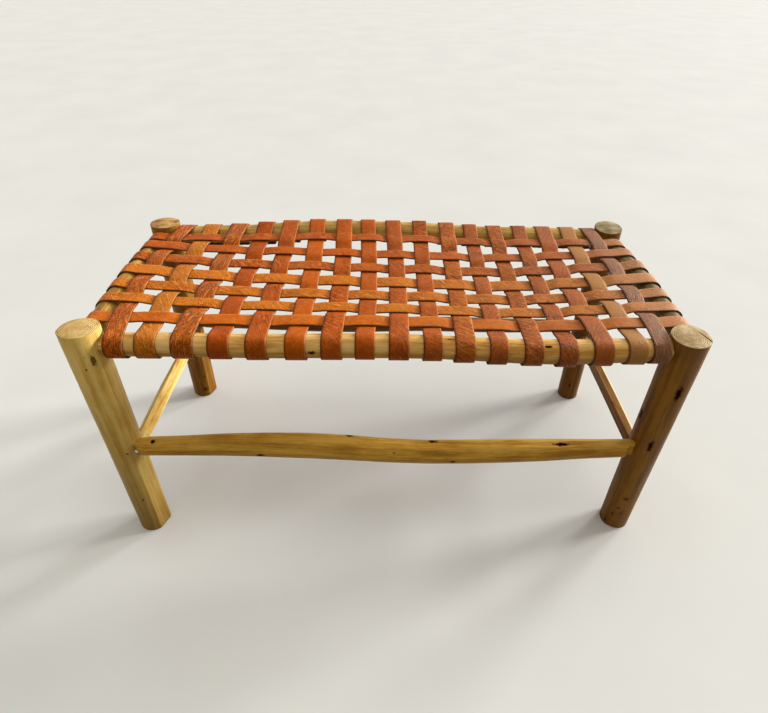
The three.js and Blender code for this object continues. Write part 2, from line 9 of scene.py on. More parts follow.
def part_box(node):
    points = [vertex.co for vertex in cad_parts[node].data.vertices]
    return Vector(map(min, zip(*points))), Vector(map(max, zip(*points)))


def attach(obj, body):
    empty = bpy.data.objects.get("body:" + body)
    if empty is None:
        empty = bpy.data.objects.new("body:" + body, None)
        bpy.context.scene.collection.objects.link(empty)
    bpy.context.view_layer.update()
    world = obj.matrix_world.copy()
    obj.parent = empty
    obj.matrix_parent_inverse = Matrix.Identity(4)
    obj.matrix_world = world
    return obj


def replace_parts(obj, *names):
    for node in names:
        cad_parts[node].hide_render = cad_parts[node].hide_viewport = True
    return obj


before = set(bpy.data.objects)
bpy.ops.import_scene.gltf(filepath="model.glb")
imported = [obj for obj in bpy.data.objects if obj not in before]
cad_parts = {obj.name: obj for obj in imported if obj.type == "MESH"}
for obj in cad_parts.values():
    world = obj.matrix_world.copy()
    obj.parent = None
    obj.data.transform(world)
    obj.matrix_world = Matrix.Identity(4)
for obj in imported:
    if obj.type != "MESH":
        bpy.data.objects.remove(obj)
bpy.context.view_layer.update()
print("bench frame loaded:", len(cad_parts), "pieces")

# Camera, where the photographer stood: in front of the bench, looking down on the seat

camera = {
    "place": (-0.00695, -0.87969, 0.93601),
    "lookDown": 0.656104,  # radians
    "turn": -0.006882,
    "roll": 0.0108557,
    "lens": 26.224,
    "filmWidth": 36.0,
}


def addCamera(settings):
    down, turn, roll = settings["lookDown"], settings["turn"], settings["roll"]
    level = Vector((math.cos(turn), math.sin(turn), 0))
    ahead = Vector((-math.sin(turn) * math.cos(down), math.cos(turn) * math.cos(down), -math.sin(down)))
    under = ahead.cross(level)
    right = level * math.cos(roll) - under * math.sin(roll)
    below = level * math.sin(roll) + under * math.cos(roll)
    bpy.ops.object.camera_add(location=settings["place"])
    eye = bpy.context.object
    eye.name = "photographersEye"
    eye.data.sensor_width = settings["filmWidth"]
    eye.data.lens = settings["lens"]
    eye.rotation_mode = "QUATERNION"
    eye.rotation_quaternion = Matrix((right, -below, -ahead)).transposed().to_quaternion()
    bpy.context.scene.camera = eye


addCamera(camera)
print("camera set")

# Helpers for the mesh


def pickOnly(piece):
    bpy.ops.object.select_all(action="DESELECT")
    piece.select_set(True)
    bpy.context.view_layer.objects.active = piece


def editAll(piece):
    pickOnly(piece)
    bpy.ops.object.mode_set(mode="EDIT")
    bpy.ops.mesh.select_all(action="SELECT")


def finishModifier(piece, kind, **settings):
    pickOnly(piece)
    bpy.ops.object.modifier_add(type=kind)
    modifier = piece.modifiers[-1]
    for key, value in settings.items():
        setattr(modifier, key, value)
    bpy.ops.object.modifier_apply(modifier=modifier.name)


def settle(piece):
    pickOnly(piece)
    bpy.ops.object.transform_apply(location=True, rotation=True, scale=True)


def smoothSides(piece, degrees):
    pickOnly(piece)
    bpy.ops.object.shade_smooth_by_angle(angle=math.radians(degrees))


def copyOf(piece, name):
    twin = piece.copy()
    twin.data = piece.data.copy()
    twin.name = name
    bpy.context.scene.collection.objects.link(twin)
    return twin


def pointsOf(piece):
    points = np.empty(len(piece.data.vertices) * 3)
    piece.data.vertices.foreach_get("co", points)
    return points.reshape(-1, 3)


def acrossOf(axis):
    return [k for k in range(3) if k != axis]


def sliceOf(corners, faces, axis, place):
    # centre and radius of a packed pole where a plane across its axis cuts it
    cuts = []
    for i, j in ((0, 1), (1, 2), (2, 0)):
        a, b = corners[faces[:, i]], corners[faces[:, j]]
        crossing = (a[:, axis] - place) * (b[:, axis] - place) < 0
        a, b = a[crossing], b[crossing]
        share = (place - a[:, axis]) / (b[:, axis] - a[:, axis])
        cuts.append(a + (b - a) * share[:, None])
    cuts = np.vstack(cuts)
    low, high = cuts.min(0), cuts.max(0)
    return Vector((low + high) / 2), float((high - low)[acrossOf(axis)].mean() / 2)


def writeVectors(mesh, name, rows):
    layer = mesh.attributes.new(name, "FLOAT_VECTOR", "POINT")
    layer.data.foreach_set("vector", np.asarray(rows, dtype=np.float32).ravel())


# Materials


def linear(hexColour):
    channels = [int(hexColour[k:k + 2], 16) / 255 for k in (1, 3, 5)]
    return [c / 12.92 if c <= 0.04045 else ((c + 0.055) / 1.055) ** 2.4 for c in channels] + [1]


def addNode(tree, kind, inputs=None, stops=None, **settings):
    node = tree.nodes.new("ShaderNode" + kind)
    for key, value in settings.items():
        setattr(node, key, value)
    for key, value in (inputs or {}).items():
        if isinstance(value, bpy.types.NodeSocket):
            tree.links.new(value, node.inputs[key])
        else:
            node.inputs[key].default_value = value
    if stops:
        ramp = node.color_ramp
        while len(ramp.elements) < len(stops):
            ramp.elements.new(1)
        for element, (place, colour) in zip(ramp.elements, stops):
            element.position = place
            element.color = linear(colour)
    return node


def newMaterial(name):
    material = bpy.data.materials.new(name)
    material.use_nodes = True
    tree = material.node_tree
    tree.nodes.clear()
    shader = addNode(tree, "BsdfPrincipled")
    addNode(tree, "OutputMaterial", {"Surface": shader.outputs["BSDF"]})
    return material, tree, shader


def knotShade(tree, knots, axis):
    # one dark eye for each knot, long along the pole, its rim made ragged by a noise of about 6 mm
    place = addNode(tree, "TexCoord").outputs["Object"]
    wander = addNode(tree, "TexNoise", {"Vector": place, "Scale": 170, "Detail": 3})
    shade = None
    for x, y, z, length, width, strength in knots:
        middle = (x / 1000, y / 1000, z / 1000)
        size = [width / 2000] * 3
        size[axis] = length / 2000
        away = addNode(tree, "VectorMath", {0: place, 1: middle}, operation="SUBTRACT")
        scaled = addNode(tree, "VectorMath", {0: away.outputs[0], 1: size}, operation="DIVIDE")
        reach = addNode(tree, "VectorMath", {0: scaled.outputs[0]}, operation="LENGTH")
        ragged = addNode(tree, "Math", {0: wander.outputs["Fac"], 1: 1.3, 2: reach.outputs["Value"]},
                         operation="MULTIPLY_ADD")
        eye = addNode(tree, "MapRange", {"Value": ragged.outputs[0], "From Min": 1.75, "From Max": 0.95,
                                         "To Max": strength}, interpolation_type="SMOOTHSTEP")
        if shade is None:
            shade = eye.outputs[0]
        else:
            shade = addNode(tree, "Math", {0: shade, 1: eye.outputs[0]}, operation="MAXIMUM").outputs[0]
    return shade


# streaks in the wood: width and length in millimetres, then detail, roughness and distortion
woodStreaks = {
    "fibre": (2.1, 95, 3, 0.6, 0),
    "band": (9, 190, 4, 0.55, 0.4),
    "patch": (30, 75, 4, 0.6, 0),
    "flame": (4, 26, 3, 0.55, 0.5),
    "speck": (3, 9, 2, 0.5, 0),
}
colourShares = {"band": 0.5, "patch": 0.32, "flame": 0.18}


def peeledWood(name, look, knots, axis):
    # poplar pole, peeled green and shaved with a drawknife: long fibre streaks that follow the
    # pole, golden and straw bands, dark specks, knots with a brown rim, a dull hand polish
    material, tree, shader = newMaterial(name)
    along = addNode(tree, "Attribute", attribute_name="poleCoords").outputs["Vector"]
    streaks = {}
    for kind, (width, length, detail, roughness, distortion) in woodStreaks.items():
        size = (1000 / width, 1000 / width, 1000 / length)
        grid = addNode(tree, "Mapping", {"Vector": along, "Scale": size})
        streak = addNode(tree, "TexNoise", {"Vector": grid.outputs[0], "Scale": 1, "Detail": detail,
                                            "Roughness": roughness, "Distortion": distortion})
        streaks[kind] = streak.outputs["Fac"]
    mixed = 0
    for kind, share in colourShares.items():
        summed = addNode(tree, "Math", {0: streaks[kind], 1: share, 2: mixed}, operation="MULTIPLY_ADD")
        mixed = summed.outputs[0]
    tint = addNode(tree, "ValToRGB", {"Fac": mixed},
                   stops=[(0.39, look["shade"]), (0.48, look["gold"]), (0.57, look["straw"])])
    fibres = addNode(tree, "MapRange", {"Value": streaks["fibre"], "From Min": 0.35, "From Max": 0.65,
                                        "To Min": look["fibre"], "To Max": 0})
    layers = [(fibres, look["line"], "MIX")]  # each laid over the ones before, through its mask
    # painted shade: a pole made darker toward its underside or foot
    if "low" in look:  # the pole's lower part is darker
        paintedShadeColour, upper, lower = look["low"]
        spot = addNode(tree, "SeparateXYZ", {"Vector": addNode(tree, "TexCoord").outputs["Object"]})
        down = addNode(tree, "MapRange", {"Value": spot.outputs["Z"], "From Min": upper, "From Max": lower})
        layers.append((down, paintedShadeColour, "MULTIPLY"))
    if "paintedLitSide" in look:  # painted highlight: the outer side, turned to the window light, is made pale
        over = addNode(tree, "SeparateXYZ", {"Vector": along})
        paintedLitSideMask = addNode(tree, "MapRange", {"Value": over.outputs["X"], "From Min": 0.005,
                                           "From Max": 0.008})
        layers.append((paintedLitSideMask, look["paintedLitSide"], "MIX"))
    specks = addNode(tree, "MapRange", {"Value": streaks["speck"], "From Min": 0.68, "From Max": 0.76,
                                        "To Max": look["specks"]})
    layers.append((specks, look["rim"], "MIX"))
    grooves = addNode(tree, "Math", {0: streaks["fibre"], 1: 0.35, 2: mixed}, operation="MULTIPLY_ADD")
    height = grooves.outputs[0]
    if knots:
        eye = knotShade(tree, knots, axis)
        rim = addNode(tree, "MapRange", {"Value": eye, "From Max": 0.5, "To Max": 0.85})
        heart = addNode(tree, "MapRange", {"Value": eye, "From Min": 0.55, "From Max": 0.9})
        layers += [(rim, look["rim"], "MIX"), (heart, look["heart"], "MIX")]
        height = addNode(tree, "Math", {0: eye, 1: -0.9, 2: height}, operation="MULTIPLY_ADD").outputs[0]
        gloss = addNode(tree, "MapRange", {"Value": eye, "To Min": look["gloss"], "To Max": 0})
        tree.links.new(gloss.outputs[0], shader.inputs["Specular IOR Level"])
    colour = tint.outputs[0]
    for mask, tone, blend in layers:
        laid = addNode(tree, "Mix", {"Factor": mask.outputs[0], "A": colour, "B": linear(tone)},
                       data_type="RGBA", blend_type=blend)
        colour = laid.outputs["Result"]
    bump = addNode(tree, "Bump", {"Height": height, "Strength": 0.7, "Distance": 0.0018})
    dull = addNode(tree, "MapRange", {"Value": streaks["patch"], "From Min": 0.3, "From Max": 0.7,
                                      "To Min": look["roughness"][0], "To Max": look["roughness"][1]})
    tree.links.new(colour, shader.inputs["Base Color"])
    tree.links.new(dull.outputs[0], shader.inputs["Roughness"])
    tree.links.new(bump.outputs[0], shader.inputs["Normal"])
    shader.inputs["IOR"].default_value = look["ior"]
    shader.inputs["Specular IOR Level"].default_value = look["gloss"]
    return material


def sawnEndGrain(name, look):
    # the same poplar sawn across: growth rings about the pith, blotches, saw fuzz, dry and matt
    material, tree, shader = newMaterial(name)
    along = addNode(tree, "Attribute", attribute_name="poleCoords").outputs["Vector"]
    grid = addNode(tree, "Mapping", {"Vector": along, "Location": (*look["pith"], look["seed"]),
                                     "Scale": (1000, 1000, 0)})
    flat = grid.outputs[0]  # in millimetres, so a noise of scale 0.1 has patches of 10 mm
    wander = addNode(tree, "TexNoise", {"Vector": flat, "Scale": 0.09, "Detail": 4})
    ring = addNode(tree, "TexWave", {"Vector": flat, "Scale": look["wave"] / look["ring"],
                                     "Distortion": 4.5, "Detail": 3, "Detail Scale": 0.35},
                   wave_type="RINGS", rings_direction="Z")
    blotch = addNode(tree, "TexNoise", {"Vector": flat, "Scale": 0.055, "Detail": 5, "Roughness": 0.65})
    fuzz = addNode(tree, "TexNoise", {"Vector": flat, "Scale": 1.1, "Detail": 3})
    tint = addNode(tree, "ValToRGB", {"Fac": blotch.outputs["Fac"]},
                   stops=[(0.34, look["shade"]), (0.5, look["gold"]), (0.62, look["straw"])])
    ringMask = addNode(tree, "MapRange", {"Value": ring.outputs["Fac"], "From Min": 0.72, "From Max": 0.98,
                                          "To Max": look["rings"]})
    strong = addNode(tree, "MapRange", {"Value": wander.outputs["Fac"], "From Min": 0.34, "From Max": 0.52})
    patchy = addNode(tree, "Math", {0: ringMask.outputs[0], 1: strong.outputs[0]}, operation="MULTIPLY")
    dusty = addNode(tree, "MapRange", {"Value": fuzz.outputs["Fac"], "From Min": 0.35, "From Max": 0.6,
                                       "To Min": 0.28, "To Max": 0})
    colour = tint.outputs[0]
    for mask in (patchy, dusty):
        laid = addNode(tree, "Mix", {"Factor": mask.outputs[0], "A": colour, "B": linear(look["line"])},
                       data_type="RGBA")
        colour = laid.outputs["Result"]
    bump = addNode(tree, "Bump", {"Height": fuzz.outputs["Fac"], "Strength": 0.5, "Distance": 0.0006})
    tree.links.new(colour, shader.inputs["Base Color"])
    tree.links.new(bump.outputs[0], shader.inputs["Normal"])
    shader.inputs["Roughness"].default_value = 0.8
    shader.inputs["Specular IOR Level"].default_value = 0.2
    return material


# Poles: each one drawn along the imported pole ring by ring, then shaved

# axis is the way a pole runs, and flats is how many the knife left at random
# shave has those seen: angle round the pole, start, end, depth in shares of the radius, and fade
# knots have their place, length and width in millimetres, then their strength
# low is painted shade that darkens a pole downward: colour, and the heights where that starts and is full
# the looks are copies of one poplar, made darker for poles standing in shade and paler for lit ones:
# painted shade and painted light
poles = {
    "leg_front_left": {
        "axis": 2, "seed": 3, "flats": 7,
        "shave": [(-20, -0.4, 0.41, 0.13, 0.03), (-30, 0.47, 1.1, 0.035, 0.15),
                  (180, 0.6, 1.3, 0.035, 0.3)],
        # painted light: a paler copy of the poplar for this leg's lit side, with painted shade low down
        # (low)
        "look": {"straw": "#ffdc88", "gold": "#f2c86c", "shade": "#daae54", "fibre": 0.12,
                 "low": ("#9c9078", 0.38, 0), "rim": "#301606", "heart": "#8a5a24"},
        "knots": [(-441.5, -214.3, 412.4, 22, 9, 1), (-453.1, -220.1, 398.6, 6, 4, 0.9),
                  (-445.3, -221.6, 90.6, 6, 4, 0.8), (-442.2, -218.9, 212.0, 5, 5, 0.9)],
    },
    "leg_front_right": {
        "axis": 2, "seed": 11, "flats": 6,
        "shave": [(200, 0.1, 0.9, 0.03, 0.2)],
        # painted shade: a darker copy of the poplar, for a leg turned away from the light
        "look": {"straw": "#96661c", "gold": "#805212", "shade": "#673e09", "fibre": 0.22},
        "knots": [(460.2, -219.5, 359.4, 38, 13, 1), (454.1, -216.2, 236.2, 32, 11, 1),
                  (432.8, -190.5, 286.5, 28, 9, 0.9), (438.8, -200.1, 11.5, 9, 7, 0.8),
                  (453.1, -213.4, 90.5, 12, 14, 0.6), (447, -213, 60, 9, 12, 0.5),
                  (455, -214, 48, 18, 8, 0.4), (443, -207, 38, 16, 7, 0.45)],
    },
    "leg_back_left": {
        "axis": 2, "seed": 17, "flats": 6,
        "shave": [(-20, -0.4, 0.7, 0.12, 0.05)],
        # painted shade: a darker copy of the poplar, for a leg standing in shade
        "look": {"straw": "#aa7826", "gold": "#925e16", "shade": "#74460b"},
        "knots": [(-440.5, 171.2, 21.4, 16, 14, 0.55), (-437, 170, 60, 9, 8, 0.5)],
    },
    "leg_back_right": {
        "axis": 2, "seed": 23, "flats": 6,
        "shave": [(160, 0.05, 0.8, 0.04, 0.1)],
        # painted shade: a darker copy of the poplar, for a leg standing in shade
        "look": {"straw": "#8a5a1b", "gold": "#744710", "shade": "#5a3609"},
        "knots": [(457.4, 168.1, 44.6, 16, 5, 0.9)],
    },
    "seat_rail_front": {
        "axis": 0, "seed": 31, "flats": 8, "shave": [],
        # painted light: a paler copy of the poplar for the rail's lit front, with painted shade on its
        # underside (low)
        "look": {"straw": "#f8ca80", "gold": "#e8b05a", "shade": "#c68634",
                 "low": ("#a89478", 0.432, 0.402)},
        "knots": [(-110.3, -212.3, 427.9, 14, 8, 0.9), (92.6, -195.0, 441.1, 34, 5, 0.8),
                  (245.1, -201.8, 434.3, 16, 5, 1)],
    },
    "seat_rail_back": {
        "axis": 0, "seed": 37, "flats": 7, "shave": [],
        "look": {"straw": "#e4b868", "gold": "#cf9c46", "shade": "#ad7a28"},
        "knots": [],
    },
    "seat_rail_left": {
        "axis": 1, "seed": 41, "flats": 6, "shave": [],
        # painted shade: a darker copy of the poplar, for a rail side turned away from the light
        "look": {"straw": "#d2a654", "gold": "#b68636", "shade": "#8a5e1e"},
        "knots": [],
    },
    "seat_rail_right": {
        "axis": 1, "seed": 43, "flats": 6, "shave": [],
        # painted shade: a much darker copy of the poplar, for a rail lying in shade between the straps
        "look": {"straw": "#86764f", "gold": "#675433", "shade": "#4a3a1e"},
        "knots": [],
    },
    "stretcher_front": {
        "axis": 0, "seed": 53, "flats": 8,
        "shave": [(102, 0.2, 1.05, 0.075, 0.06), (150, -0.1, 0.5, 0.04, 0.2), (205, 0.3, 1.1, 0.04, 0.2),
                  (128, 0.55, 1.1, 0.04, 0.2), (180, 0.9545, 1.3, 0.82, 0.055),
                  (180, -0.3, 0.0305, 0.8, 0.044)],
        "look": {"straw": "#e2b048", "gold": "#c7932e", "shade": "#a47018"},
        "knots": [(-398.1, -207.1, 229.8, 10, 9, 1), (-59.9, -192.3, 231.6, 20, 11, 1),
                  (16.6, -217.6, 216.7, 7, 4, 0.6), (83.4, -194.7, 221.1, 22, 9, 0.9),
                  (119.7, -219.8, 197.9, 16, 9, 1), (306.0, -203.3, 225.7, 34, 9, 1),
                  (-212.0, -221.0, 214.0, 18, 9, 0.9), (-428.0, -214.0, 214.0, 20, 16, 0.35)],
    },
    "stretcher_back": {
        "axis": 0, "seed": 59, "flats": 7, "shave": [],
        # painted shade: a darker copy of the poplar, for a stretcher in the seat's shade
        "look": {"straw": "#98621e", "gold": "#7a4612", "shade": "#5a2e08"},
        "knots": [(-120, 176, 204, 14, 7, 0.8)],
    },
    "stretcher_left": {
        "axis": 1, "seed": 61, "flats": 4,
        "shave": [(62, -0.1, 1.1, 0.13, 0.05), (122, -0.1, 0.55, 0.12, 0.12), (178, -0.1, 0.5, 0.1, 0.12),
                  (5, -0.1, 1.1, 0.09, 0.1)],
        # painted light: a far paler copy of the poplar, for the stretcher's lit top
        "look": {"straw": "#ffee9c", "gold": "#fcd070", "shade": "#c88c34"},
        "knots": [],
    },
    "stretcher_right": {
        "axis": 1, "seed": 67, "flats": 3,
        "shave": [(94, -0.1, 1.1, 0.14, 0.03), (176, -0.1, 1.1, 0.26, 0.03), (10, -0.1, 1.1, 0.12, 0.1),
                  (268, -0.1, 1.1, 0.14, 0.1)],
        # painted shade: a darker copy of the poplar for the stretcher's shaded sides, with its lit side
        # painted pale
        "look": {"straw": "#a87430", "gold": "#84541a", "shade": "#5c360c", "paintedLitSide": "#f8d880"},
        "knots": [],
    },
}
poleWork = {
    "sides": 40,
    "coarseStep": 0.018,
    "fineStep": 0.005,
    "fineReach": 0.045,  # whittled ends, where the rings lie close
    "leastStep": 0.0005,
    "endInset": 0.001,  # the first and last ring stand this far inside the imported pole
    "clearHeights": (0.1, 0.32),  # where a leg has no mortise
    "legOvershoot": 0.012,  # sawn off afterwards
    "unevenness": 0.014,  # share of the radius
    "swell": (0.9, 13),  # waves round a pole, and along a metre of it
    "ripple": (2.6, 34),
    "rippleShare": 0.45,
    "fullness": 0.2,  # added to both, because the flats only take away
    "seedStep": 1.7,  # keeps one pole's shape from another's
    "flatStart": (-0.1, 0.8),  # of a random flat, in shares of the pole's length
    "flatLength": (0.2, 0.6),
    "flatDepth": (0.008, 0.022),
    "flatFade": 0.35,
    "ridge": 0.02,  # a cut starts this far outside the radius, where it takes nothing
    "headBand": 0.012,  # the sawn head slopes within this
    "rimInset": 0.0006,
    "rimSoftness": 0.0008,
    "footSoftness": 0.0028,
    "sawnReach": 0.03,  # how far a sawn face's middle may lie from the saw's place
    "sawnFacing": 0.999,  # and how near its normal is to the saw's, as a cosine
    "endGrainFrom": 0.9,  # faces turned this far up or down show end grain
    "grainStep": 7.3,  # keeps one pole's grain from another's
    "smoothUnder": 24,  # degrees
}


def ringPlaces(low, high):
    places = [low]
    while places[-1] < high - poleWork["leastStep"]:
        nearEnd = min(places[-1] - low, high - places[-1])
        step = poleWork["fineStep"] if nearEnd < poleWork["fineReach"] else poleWork["coarseStep"]
        places.append(min(places[-1] + step, high))
    return places


def sectionsOf(node, axis):
    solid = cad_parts[node]
    corners = pointsOf(solid)
    faces = np.array([face.vertices[:3] for face in solid.data.polygons])
    low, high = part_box(node)[0][axis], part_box(node)[1][axis]
    if axis != 2:
        places = ringPlaces(low + poleWork["endInset"], high - poleWork["endInset"])
        return [sliceOf(corners, faces, axis, place) for place in places]
    lower, upper = poleWork["clearHeights"]  # a leg is straight, and two places give its line
    near, far = sliceOf(corners, faces, 2, lower), sliceOf(corners, faces, 2, upper)
    sections = []
    for place in ringPlaces(-poleWork["legOvershoot"], high + poleWork["legOvershoot"]):
        share = (place - lower) / (upper - lower)
        sections.append((near[0].lerp(far[0], share), near[1] + (far[1] - near[1]) * share))
    return sections


def drawPole(node, axis, sections):
    turns = {0: (0, math.pi / 2, 0), 1: (math.pi / 2, 0, 0), 2: (0, 0, 0)}
    bpy.ops.object.select_all(action="DESELECT")
    bpy.ops.mesh.primitive_circle_add(vertices=poleWork["sides"], radius=sections[0][1],
                                      location=sections[0][0], rotation=turns[axis])
    pole = bpy.context.object
    pole.name = "peeled_" + node
    settle(pole)
    editAll(pole)
    for (before, wide), (after, narrow) in zip(sections, sections[1:]):
        bpy.ops.mesh.extrude_region_move(TRANSFORM_OT_translate={"value": after - before})
        bpy.ops.transform.resize(value=(narrow / wide,) * 3, center_override=after)
    bpy.ops.mesh.select_all(action="SELECT")
    bpy.ops.mesh.fill_holes(sides=0)
    bpy.ops.mesh.normals_make_consistent(inside=False)
    bpy.ops.object.mode_set(mode="OBJECT")
    finishModifier(pole, "SUBSURF", levels=1, render_levels=1)
    return pole


def shavePole(pole, axis, sections, settings):
    # unevenness of a peeled pole, then the flats that the drawknife leaves
    across = acrossOf(axis)
    places = np.array([centre[axis] for centre, _ in sections])
    middles = np.array([[centre[across[0]], centre[across[1]]] for centre, _ in sections])
    radii = np.array([radius for _, radius in sections])
    points = pointsOf(pole)
    s = points[:, axis]
    centre = np.stack([np.interp(s, places, middles[:, k]) for k in (0, 1)], 1)
    radius = np.interp(s, places, radii)
    away = points[:, across] - centre
    seed = settings["seed"] * poleWork["seedStep"]
    (swellRound, swellAlong), (rippleRound, rippleAlong) = poleWork["swell"], poleWork["ripple"]
    for k in range(len(away)):
        u, v = away[k] / radius[k]
        swell = noise.noise(Vector((u * swellRound + seed, v * swellRound, s[k] * swellAlong)))
        ripple = noise.noise(Vector((u * rippleRound, v * rippleRound + seed, s[k] * rippleAlong)))
        bulge = swell + poleWork["rippleShare"] * ripple + poleWork["fullness"]
        away[k] *= 1 + poleWork["unevenness"] * bulge
    dice = random.Random(settings["seed"])
    cuts = list(settings["shave"])
    for _ in range(settings["flats"]):
        start = dice.uniform(*poleWork["flatStart"])
        angle = dice.uniform(0, 360)
        end = start + dice.uniform(*poleWork["flatLength"])
        cuts.append((angle, start, end, dice.uniform(*poleWork["flatDepth"]), poleWork["flatFade"]))
    t = (s - places[0]) / (places[-1] - places[0])
    for angle, start, end, depth, fade in cuts:
        facing = np.array([math.cos(math.radians(angle)), math.sin(math.radians(angle))])
        into = np.clip(np.minimum(t - start, end - t) / ((end - start) * fade), 0, 1)
        into = into * into * (3 - 2 * into)
        limit = radius * (1 + poleWork["ridge"] - (depth + poleWork["ridge"]) * into)
        over = np.maximum(away @ facing - limit, 0)
        away -= over[:, None] * facing
    points[:, across] = centre + away
    pole.data.vertices.foreach_set("co", points.ravel())
    pole.data.update()


def followPole(pole, axis, sections, seed):
    # straightened coordinates for the grain: across the pole from its axis, and along it
    places = [centre[axis] for centre, _ in sections]
    points = pointsOf(pole)
    s = points[:, axis]
    away = []
    for k in acrossOf(axis):
        away.append(points[:, k] - np.interp(s, places, [centre[k] for centre, _ in sections]))
    writeVectors(pole.data, "poleCoords", np.column_stack([*away, s + seed * poleWork["grainStep"]]))


def headPlane(node):
    # the sawn face of a leg's head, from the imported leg
    corners = pointsOf(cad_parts[node])
    top = corners[corners[:, 2] > corners[:, 2].max() - poleWork["headBand"]]
    centre = top[:, :2].mean(0)
    span = np.linalg.norm(top[:, :2] - centre, axis=1)
    top = top[span < span.max() - poleWork["rimInset"]]  # leaves out the chamfer's lower edge
    slope = np.linalg.lstsq(np.column_stack([top[:, :2], np.ones(len(top))]), top[:, 2], rcond=None)[0]
    height = slope[0] * centre[0] + slope[1] * centre[1] + slope[2]
    return Vector((centre[0], centre[1], height)), Vector((-slope[0], -slope[1], 1)).normalized()


def sawOff(pole, place, facing, softness):
    editAll(pole)
    bpy.ops.mesh.bisect(plane_co=place, plane_no=facing, use_fill=True, clear_outer=True)
    bpy.ops.object.mode_set(mode="OBJECT")
    for face in pole.data.polygons:
        near = (face.center - place).length < poleWork["sawnReach"]
        face.select = near and abs(face.normal.dot(facing)) > poleWork["sawnFacing"]
    bpy.ops.object.mode_set(mode="EDIT")
    bpy.ops.mesh.select_mode(type="FACE")
    bpy.ops.mesh.region_to_loop()
    bpy.ops.mesh.bevel(offset=softness, segments=2, affect="EDGES")
    bpy.ops.mesh.select_mode(type="VERT")
    bpy.ops.object.mode_set(mode="OBJECT")


def splitHead(pole, settings):
    start, end = (Vector((x / 1000, y / 1000, 0)) for x, y in (settings["start"], settings["end"]))
    span = end - start
    top = max(corner[2] for corner in pole.bound_box)
    bpy.ops.object.select_all(action="DESELECT")
    bpy.ops.mesh.primitive_cylinder_add(vertices=3, radius=1, depth=settings["depth"])
    wedge = bpy.context.object
    triangleWidth, triangleLength = 1.732, 1.5  # of a three-sided cylinder
    wedge.scale = (settings["width"] / triangleWidth, span.length / triangleLength, 1)
    wedge.rotation_euler.z = math.atan2(span.y, span.x) + math.pi / 2
    wedge.location = start + span * 2 / 3 + Vector((0, 0, top - settings["sunk"]))
    settle(wedge)
    finishModifier(pole, "BOOLEAN", operation="DIFFERENCE", solver="MANIFOLD", object=wedge)
    bpy.data.objects.remove(wedge)


woodCommon = {"line": "#7d5518", "rim": "#5c2c0a", "heart": "#1e0e04", "fibre": 0.34, "specks": 0.5,
              "roughness": (0.38, 0.56), "ior": 1.5, "gloss": 0.18}
endGrainLook = {"straw": "#f0cf8e", "gold": "#e3bd76", "shade": "#c49656", "line": "#5c3810",
                "pith": (2, 3), "rings": 0.8,  # how strong they are
                "ring": 3.1, "wave": 0.314}  # millimetres a ring; the wave's width at scale 1
endGrainByLeg = {
    "leg_front_left": {"rings": 1},
    "leg_front_right": {"straw": "#e6cfa3", "gold": "#cfb080", "shade": "#a58257"},
    "leg_back_left": {"straw": "#dcb57a", "gold": "#cb9d60", "shade": "#8a5c2c"},
    "leg_back_right": {"straw": "#c6b48c", "gold": "#ab9970", "shade": "#86724e", "line": "#4c3818"},
}
# a drying crack in a leg's head, from its closed end to its open one, x and y in millimetres; the
# rest in metres, where sunk is how far the cutting wedge's middle lies below the top
crack = {"node": "leg_front_right", "start": (471.0, -168.5), "end": (487.5, -207.5), "width": 0.0026,
         "depth": 0.03, "sunk": 0.006}

for node, settings in poles.items():
    axis = settings["axis"]
    sections = sectionsOf(node, axis)
    pole = drawPole(node, axis, sections)
    shavePole(pole, axis, sections, settings)
    if axis == 2:
        sawOff(pole, *headPlane(node), poleWork["rimSoftness"])
        footPlace = Vector((sections[0][0].x, sections[0][0].y, 0))
        sawOff(pole, footPlace, Vector((0, 0, -1)), poleWork["footSoftness"])
    if node == crack["node"]:
        splitHead(pole, crack)
    followPole(pole, axis, sections, settings["seed"])
    wood = peeledWood("peeled poplar, " + node.replace("_", " "), {**woodCommon, **settings["look"]},
                      settings["knots"], axis)
    pole.data.materials.clear()
    pole.data.materials.append(wood)
    if axis == 2:
        endLook = {**endGrainLook, **endGrainByLeg[node], "seed": settings["seed"]}
        pole.data.materials.append(sawnEndGrain("sawn end grain, " + node.replace("_", " "), endLook))
        for face in pole.data.polygons:
            if abs(face.normal.z) > poleWork["endGrainFrom"]:
                face.material_index = 1
    smoothSides(pole, poleWork["smoothUnder"])
    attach(pole, "root")
    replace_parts(pole, node)
print("poles drawn and shaved:", len(poles))

# Straps: a grid laid along each packed strap's middle line, thickened, its edges rounded

strapWork = {
    "columns": 6,
    "perBend": 4,  # rows for each bend of the line
    "thickness": 0.002,
    "edgeSoftness": 0.0006,
    "sharpEdge": 60,  # degrees, and what is sharper gets rounded
    "smoothUnder": 50,
    "curl": 0.0005,  # how far the edges lift and fall
    "crown": 0.0005,  # how far the edges hang below the middle
    "wander": 0.0005,  # how far the edges wander sideways
    "tilt": (24, 3.1),  # waves along a metre, and a step that keeps one strap from another
    "bow": (30, 5.7),
    "drift": (35, 2.3),
    "tiltShare": 0.8,
    "stillEnd": 0.05,  # the nailed ends don't curl this far in
    "tail": 0.008,  # from a tack to the strap's end
    "patternStep": 3.7,
    "middleTone": 0.37,  # what patches and mottle add on average
    "narrowest": 0.02,  # what is less wide isn't a row across the strap
    "endReach": 0.05,  # the nailed end is this near to the foremost row
    "endRise": 0.01,  # and to the lowest there
    "straightOn": 1.6,  # how strongly the line goes straight on
}


def detour(row, tail, heading):
    # how far off a row is, and more where the line would turn to reach it
    step = row[[0, 2]] - tail[[0, 2]]
    return np.linalg.norm(step) * (strapWork["straightOn"] - heading @ step / np.linalg.norm(step))


